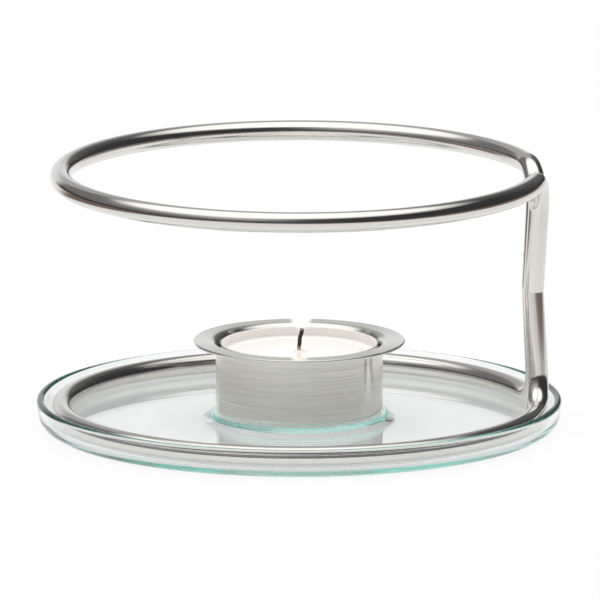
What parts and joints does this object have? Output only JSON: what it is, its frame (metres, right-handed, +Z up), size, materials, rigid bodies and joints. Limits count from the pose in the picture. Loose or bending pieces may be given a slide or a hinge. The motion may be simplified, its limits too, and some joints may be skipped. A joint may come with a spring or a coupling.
{
  "type": "teapot warmer",
  "caption": "Teapot warmer: a polished bent-rod stand whose upper ring carries the pot, set in a shallow clear glass dish round a brushed steel candle cup with a tealight.",
  "frame": {"origin": "centre of the flat underside of the dish, on the table", "axes": "+Z up, +X toward the two legs of the rod frame"},
  "size_m": [0.1277, 0.1278, 0.0646],
  "materials": {
    "clear_glass": "clear pressed glass, polished, green where it is seen edge-on",
    "polished_steel": "mirror-polished stainless rod",
    "brushed_steel": "stainless sheet, brushed round the cup, satin on the flange",
    "tealight_shell": "thin cream-white translucent plastic",
    "wax": "white candle wax with a melted surface",
    "wick": "charred braided cotton, paler at its foot",
    "tin_plate": "bright thin sheet"
  },
  "bodies": {
    "dish": {"glass_dish": "clear_glass"},
    "rod_frame": {"base_ring_rod": "polished_steel", "support_ring_rod": "polished_steel"},
    "cup": {"candle_cup": "brushed_steel"},
    "tealight": {"tealight_cup": "tealight_shell", "tealight_wax": "wax", "wick": "wick", "wick_sustainer": "tin_plate"}
  },
  "joints": [
    {"name": "frame_lift", "type": "slide", "parent": "dish", "child": "rod_frame", "axis": [0, 0, 1], "range_m": [0, 0.07]},
    {"name": "cup_lift", "type": "slide", "parent": "dish", "child": "cup", "axis": [0, 0, 1], "range_m": [0, 0.08]},
    {"name": "tealight_lift", "type": "slide", "parent": "cup", "child": "tealight", "axis": [0, 0, 1], "range_m": [0, 0.025]}
  ]
}
